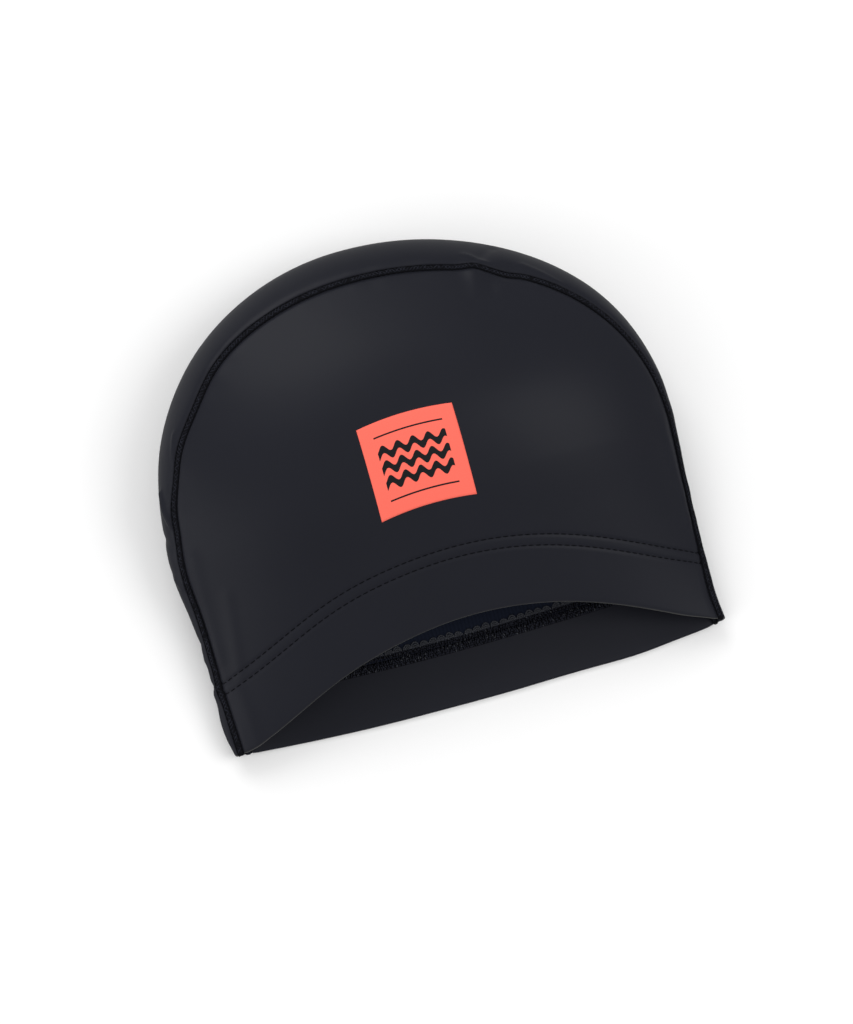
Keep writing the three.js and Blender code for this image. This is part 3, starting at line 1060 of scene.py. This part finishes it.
# %% Two rows of stitches along each hem
STITCH_PITCH, STITCH_LENGTH, STITCH_THICKNESS = 3.0, 2.5, 0.5
ROW_STEPS_PER_MM = 20  # of half the row's length
ROW_OVERRUN = 0.2  # how far a row runs into the seam


def row_point(name, row, x):
    plan = plan_at(name, x, row_distance(row, x))
    point, normal = face_point(name, plan), face_normal(name, plan)
    relief = cloth_relief(point, (name,), FOLDS[name]) - channel_depth(name, plan)
    return point + normal * relief, normal


def hem_stitches(name):
    maker = bmesh.new()
    reach = border(name, 1 - hem_along(name)).x + ROW_OVERRUN
    steps = reach * ROW_STEPS_PER_MM
    for row in (0, 1):
        travelled, start, last = 0.0, None, None
        for i in range(int(steps) + 1):
            point, normal = row_point(name, row, lerp(-reach, reach, i / steps))
            travelled += (point - last).length if last else 0.0
            last = point
            phase = travelled % STITCH_PITCH
            if phase < STITCH_LENGTH and start is None:
                start = point
            if start is not None and (phase >= STITCH_LENGTH or i == int(steps)):
                lay_thread(maker, start, point, normal, STITCH_THICKNESS)
                start = None
    return thread_object(f"{name}_hem_stitches", maker, SEAM_THREAD)


for name in SEAMS:
    hem_stitches(name)

# %% [markdown]
# ## Inside the hem
# A coverstitch machine covers the flap's raw edge with looper thread: a dense band about 6 mm wide,
# and past it the rounded loops of the overlock that neatened the edge. They show inside the back
# panel, through the opening. Both run over the step from the flap down to the single cloth. The
# band is a dark strip under many short strokes of thread, which is far lighter than thread modelled
# whole and looks as dense.

# %% Height of the inner cloth above the outer face, beside the flap's edge
STEP_BEFORE, STEP_WIDTH = 0.2, 1.6  # the soft step starts just before the flap's edge


def inner_depth(distance):
    """From the outer face inwards: the flap's face, a soft step, and then the single cloth."""
    step = min(max((distance - (HEM_WIDTH - STEP_BEFORE)) / STEP_WIDTH, 0), 1)
    return lerp(HEM_DEPTH, CLOTH, step * step * (3 - 2 * step))


def inner_point(name, x, distance, above):
    plan = plan_at(name, x, distance)
    normal = face_normal(name, plan)
    return face_point(name, plan) - normal * (inner_depth(distance) + above), -normal


print("inside of the back panel, 40 mm in:", inner_point("back", 0, 40, 0)[0])

# %% The dark strip under the looper threads
LOOPER_FROM, LOOPER_TO = 21.3, 27.6  # distances from the edge, seen from above
LOOPER_END, LOOP_END = 4, 5  # how far band and loops stop short of the seams
BASE_ABOVE = 0.12


def looper_base(name, reach):
    base = bmesh.new()
    bmesh.ops.create_grid(base, x_segments=160, y_segments=8, size=0.5)
    for vert in base.verts:
        distance = lerp(LOOPER_FROM, LOOPER_TO, vert.co.y + 0.5)
        point, facing = inner_point(name, 2 * reach * vert.co.x, distance, BASE_ABOVE)
        vert.co = to_frame(puckered(point))
    base.normal_update()
    if next(iter(base.faces)).normal.dot(facing) < 0:
        bmesh.ops.reverse_faces(base, faces=base.faces)
    return base


print("looper band:", round(LOOPER_TO - LOOPER_FROM, 1), "mm wide")

# %% Short crossing strokes over the strip, charcoal with a few grey ones
STROKE_PITCH, STROKE_ROWS, STROKE_SHIFT = 0.85, 7, 0.2
STROKE_START = (0, 0.3)  # where in its row a stroke starts
STROKE_LENGTH, STROKE_ABOVE = (0.7, 1.2), (0.2, 0.4)
STROKE_SLANT, STROKE_THICKNESS = (-0.7, 0.7), (0.5, 0.7)
FLECK_SHARE = 0.08


def looper_band(name):
    reach = border(name, 1 - hem_along(name)).x - LOOPER_END
    base = looper_base(name, reach)
    makers = {COVER_THREAD: bmesh.new(), LOOP_THREAD: bmesh.new()}
    count = int(2 * reach / STROKE_PITCH)
    for i in range(count):
        for k in range(STROKE_ROWS):
            shift = random.uniform(-STROKE_SHIFT, STROKE_SHIFT)
            x = lerp(-reach, reach, (i + 0.5 * (k % 2)) / count) + shift
            low = lerp(LOOPER_FROM, LOOPER_TO, (k + random.uniform(*STROKE_START)) / STROKE_ROWS)
            high = low + random.uniform(*STROKE_LENGTH)
            above = random.uniform(*STROKE_ABOVE)
            start, normal = inner_point(name, x, low, above)
            slanted = x + random.uniform(*STROKE_SLANT)
            end, _ = inner_point(name, slanted, min(high, LOOPER_TO), above)
            thread = LOOP_THREAD if random.random() < FLECK_SHARE else COVER_THREAD
            lay_thread(makers[thread], start, end, normal, random.uniform(*STROKE_THICKNESS))
    thread_object(f"{name}_looper_band", base, SEAM_THREAD)
    thread_object(f"{name}_looper_cover", makers[COVER_THREAD], COVER_THREAD)
    thread_object(f"{name}_looper_flecks", makers[LOOP_THREAD], LOOP_THREAD)


for name in ("back", "front"):
    looper_band(name)

# %% Rounded overlock loops past the band
LOOP_PITCH, LOOP_HEIGHT, LOOP_HALF = 3.7, 2.1, 1.6
LOOP_SHIFT, LOOP_STRETCH, LOOP_SLANT = (-0.3, 0.3), (0.8, 1.15), (-0.4, 0.4)
LOOP_ABOVE, LOOP_TUCK = 0.2, 0.2  # above the cloth, and how far a loop starts inside the band
LOOP_RINGS = ((1.0, 0.75), (0.6, 0.8), (0.25, 0.85))  # size of each ring, thickness of its thread
ARCH_STEPS = 6
OVERLAP = 0.15  # share of its length by which each bit of thread runs into its neighbours


def loop_arch(name, x, tall, slant, ring):
    points = []
    for k in range(ARCH_STEPS + 1):
        sine, cosine = math.sin(math.pi * k / ARCH_STEPS), math.cos(math.pi * k / ARCH_STEPS)
        side = x - cosine * LOOP_HALF * ring + sine * slant
        distance = LOOPER_TO - LOOP_TUCK + sine * tall * ring
        points.append(inner_point(name, side, distance, LOOP_ABOVE))
    return points


def overlock_loops(name):
    maker = bmesh.new()
    reach = border(name, 1 - hem_along(name)).x - LOOP_END
    count = int(2 * reach / LOOP_PITCH)
    for i in range(count):
        x = lerp(-reach, reach, (i + 0.5) / count) + random.uniform(*LOOP_SHIFT)
        tall, slant = LOOP_HEIGHT * random.uniform(*LOOP_STRETCH), random.uniform(*LOOP_SLANT)
        for ring, thickness in LOOP_RINGS:
            points = loop_arch(name, x, tall, slant, ring)
            for (start, normal), (end, _) in zip(points, points[1:]):
                near, far = start.lerp(end, -OVERLAP), start.lerp(end, 1 + OVERLAP)
                lay_thread(maker, near, far, normal, thickness)
    return thread_object(f"{name}_overlock_loops", maker, LOOP_THREAD)


for name in ("back", "front"):
    overlock_loops(name)

# %% [markdown]
# ## The print
# A square of coral ink is screen printed on the front panel. It is a skin of its own here, a tenth
# of a millimetre thick, on the same surface as the cloth, so it bends with it. Its motif is plain:
# three waves between two thin rules, which a few maths nodes draw on the skin's own UV map, without
# any image.

# %% Screen print ink
RULES, RULE_HALF = (0.16, 0.84), 0.009  # heights and half thickness, as shares of the square
WAVES, WAVE_HALF = (0.34, 0.5, 0.66), 0.042
WAVE_HEIGHT = 0.038
WAVE_COUNT = 4.5
MOTIF_HALF = 0.36  # half width of the motif
INK_CLOUD_SCALE = 90.0  # the ink's unevenness is about 0.4 mm on the square
INK_RELIEF = 0.00004


def print_ink():
    material = new_material("coral_screen_print_ink")

    def maths(operation, *values):
        node = add_node(material, "ShaderNodeMath", {"operation": operation})
        for i, value in enumerate(values):
            if isinstance(value, bpy.types.NodeSocket):
                material.node_tree.links.new(value, node.inputs[i])
            else:
                node.inputs[i].default_value = value
        return node.outputs[0]

    def close_to(value, centre, half_width):
        distance = maths("ABSOLUTE", maths("SUBTRACT", value, centre))
        return maths("LESS_THAN", distance, half_width)

    uv = add_node(material, "ShaderNodeUVMap", {"uv_map": "print"})
    parts = add_node(material, "ShaderNodeSeparateXYZ", links={"Vector": uv.outputs["UV"]})
    u, v = parts.outputs["X"], parts.outputs["Y"]
    within = close_to(u, 0.5, MOTIF_HALF)
    angle = maths("MULTIPLY", u, math.pi * WAVE_COUNT / MOTIF_HALF)
    swing = maths("MULTIPLY", maths("SINE", angle), WAVE_HEIGHT)
    marks = 0.0
    for height in RULES:
        marks = maths("MAXIMUM", marks, close_to(v, height, RULE_HALF))
    for height in WAVES:
        rise = maths("SUBTRACT", v, height)
        marks = maths("MAXIMUM", marks, close_to(rise, swing, WAVE_HALF))
    marks = maths("MULTIPLY", marks, within)
    cover = add_node(
        material,
        "ShaderNodeTexNoise",
        {"Scale": INK_CLOUD_SCALE, "Detail": 3.0},
        {"Vector": uv.outputs["UV"]},
    )
    coral = add_node(
        material,
        "ShaderNodeMix",
        {"data_type": "RGBA", MIX_FIRST: linear("#fa6452"), MIX_SECOND: linear("#ff7464")},
        {"Factor": cover.outputs["Fac"]},
    )
    colour = add_node(
        material,
        "ShaderNodeMix",
        {"data_type": "RGBA", MIX_SECOND: linear("#16181b")},
        {"Factor": marks, MIX_FIRST: coral.outputs[MIX_RESULT]},
    )
    bump = add_node(
        material,
        "ShaderNodeBump",
        {"Strength": 0.2, "Distance": INK_RELIEF},
        {"Height": cover.outputs["Fac"]},
    )
    shader = add_node(
        material,
        "ShaderNodeBsdfPrincipled",
        {"Roughness": 0.6, "Specular IOR Level": 0.25},
        {"Base Color": colour.outputs[MIX_RESULT], "Normal": bump.outputs["Normal"]},
    )
    return finish_material(material, shader)


PRINT_INK = print_ink()
print("made", PRINT_INK.name)

# %% The printed square
PRINT_WIDTH = 39.0
PRINT_LENGTH = 36.0  # the same side, seen from above the slope that it lies on
PRINT_CENTRE = Vector((-6.7, 88.5, 0))
PRINT_TURN = math.radians(1.5)
PRINT_BOW = 1.5  # how far the stretched cloth bows the square towards the crown
PRINT_ABOVE = 0.14
INK_THICKNESS = 0.1


def print_square(steps=40):
    maker = bmesh.new()
    bmesh.ops.create_grid(maker, x_segments=steps, y_segments=steps, size=0.5)
    layer = maker.loops.layers.uv.new("print")
    for face in maker.faces:
        for loop in face.loops:
            loop[layer].uv = (loop.vert.co.x + 0.5, loop.vert.co.y + 0.5)
    turn = Matrix.Rotation(PRINT_TURN, 3, "Z")
    for vert in maker.verts:
        bow = PRINT_BOW * (1 - (2 * vert.co.x) ** 2)
        flat = Vector((vert.co.x * PRINT_WIDTH, vert.co.y * PRINT_LENGTH + bow, 0))
        plan = turn @ flat + PRINT_CENTRE
        point, normal = face_point("front", plan), face_normal("front", plan)
        point += normal * (cloth_relief(point, ("front",), FOLDS["front"]) + PRINT_ABOVE)
        vert.co = to_frame(puckered(point))
    piece = finished_object("print_skin", maker, (PRINT_INK,))
    wall = piece.modifiers.new("ink thickness", "SOLIDIFY")
    wall.thickness, wall.offset = INK_THICKNESS * MM, -1
    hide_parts("print_square")
    print(piece.name, "is", PRINT_WIDTH, "mm wide")


print_square()

# %% [markdown]
# ## The cloths' areas
# The three cloths were each cut flat and then sewn, and the seams, the stitches and the loops are
# thread. Printed here are the areas of the three cloths as shaped, with the turned hem.

print("areas:", [round(a * 1e4) for a in (front_area, back_area, crown_area)], "cm2")

# %% [markdown]
# ## Floor, light and camera
# Goods like this are photographed from above on white, with very soft light. A bright room lights
# the floor evenly, and four round softboxes make the broad highlights: one beyond the crown, one
# high and one low at the left, and one at the right. The white floor and room would draw a bright
# rim round dark cloth, so glossy rays don't see them. They see a grey card in the floor's place, as
# a photographer would lay grey card round dark goods. Camera, diffuse light and shadows see only
# the white floor.

# %% The floor
GROUND_HALF = 3.0
FLOOR_Z, CARD_Z = -0.0003, -0.0002
PAPER_FLECKS_PER_METRE = 900.0  # the paper's tooth is drawn at a little over 1 mm


def ground_plane(name, z, material):
    maker = bmesh.new()
    bmesh.ops.create_grid(maker, x_segments=1, y_segments=1, size=GROUND_HALF)
    for vert in maker.verts:
        vert.co.z = z
    mesh = bpy.data.meshes.new(name)
    maker.to_mesh(mesh)
    maker.free()
    mesh.materials.append(material)
    ground = bpy.data.objects.new(name, mesh)
    bpy.context.scene.collection.objects.link(ground)
    return ground


def white_paper():
    material = new_material("white_paper_sweep")
    settings = {"Scale": PAPER_FLECKS_PER_METRE, "Detail": 2.0}
    tooth = add_node(material, "ShaderNodeTexNoise", settings)
    bump = add_node(
        material,
        "ShaderNodeBump",
        {"Strength": 0.1, "Distance": 0.0001},
        {"Height": tooth.outputs["Fac"]},
    )
    shader = add_node(
        material,
        "ShaderNodeBsdfPrincipled",
        {"Base Color": linear("#f6f6f6"), "Roughness": 0.95, "Specular IOR Level": 0.1},
        {"Normal": bump.outputs["Normal"]},
    )
    return finish_material(material, shader)


floor = ground_plane("floor", FLOOR_Z, white_paper())
floor.visible_glossy = False
print("white floor below the cap:", floor.name)


# %% A grey card that only the glossy reflections see, in the place of the white floor
def grey_card():
    material = new_material("grey_reflector_card")
    settings = {"Base Color": linear("#adadad"), "Roughness": 0.95}
    return finish_material(material, add_node(material, "ShaderNodeBsdfPrincipled", settings))


card = ground_plane("grey_card", CARD_Z, grey_card())
card.visible_camera = card.visible_diffuse = card.visible_shadow = False
print("grey card on it:", card.name)

# %% Light
LAMP_SIZE = 1.1
LAMP_TARGET = Vector((0, 0, 0.02))


def soft_lamp(name, place, power):
    lamp = bpy.data.lights.new(name, "AREA")
    lamp.shape, lamp.size, lamp.energy = "DISK", LAMP_SIZE, power
    holder = bpy.data.objects.new(name, lamp)
    holder.location = place
    holder.rotation_euler = (LAMP_TARGET - Vector(place)).to_track_quat("-Z", "Y").to_euler()
    bpy.context.scene.collection.objects.link(holder)
    return holder


def surround(colour, strength):
    world = bpy.data.worlds.new("studio")
    world.use_nodes = True
    background = world.node_tree.nodes["Background"]
    background.inputs["Color"].default_value = colour
    background.inputs["Strength"].default_value = strength
    world.cycles_visibility.glossy = False
    bpy.context.scene.world = world


surround(linear("#ffffff"), 0.7)
LAMPS = {  # place in metres and power in watts of each round softbox
    "crown softbox": ((-0.32, 1.31, 1.11), 10.2),
    "left softbox": ((-1.31, -0.6, 0.99), 3.1),
    "low left softbox": ((-1.6, -0.1, 0.4), 4.6),
    "right softbox": ((1.0, -0.27, 1.41), 7.8),
}
lamps = [soft_lamp(name, place, power) for name, (place, power) in LAMPS.items()]
bpy.context.scene.view_settings.view_transform = "Standard"
print("lamps:", [lamp.name for lamp in lamps])

# %% Camera: almost straight above, turned so that the cap lies at a slant in the picture
CAMERA_TARGET = Vector((-5.19, 71.8, 30))
CAMERA_DISTANCE = 960.2
TIP_LEFT, TIP_FRONT = math.radians(8.48), math.radians(7.94)
PICTURE_TURN = math.radians(16.17)
LENS, SENSOR_WIDTH = 85, 36


def place_camera():
    data = bpy.data.cameras.new("camera")
    data.lens, data.sensor_width = LENS, SENSOR_WIDTH
    camera = bpy.data.objects.new("camera", data)
    back = Vector((-math.sin(TIP_LEFT), -math.sin(TIP_FRONT), 0))
    back.z = math.sqrt(1 - back.length_squared)
    right = Vector((math.sin(PICTURE_TURN), math.cos(PICTURE_TURN), 0)).cross(back).normalized()
    above = back.cross(right)
    stand = Matrix.Translation(to_frame(CAMERA_TARGET + back * CAMERA_DISTANCE))
    camera.matrix_world = stand @ Matrix((right, above, back)).transposed().to_4x4()
    bpy.context.scene.collection.objects.link(camera)
    bpy.context.scene.camera = camera
    return camera


camera = place_camera()
print("camera at", [round(v, 3) for v in camera.location])
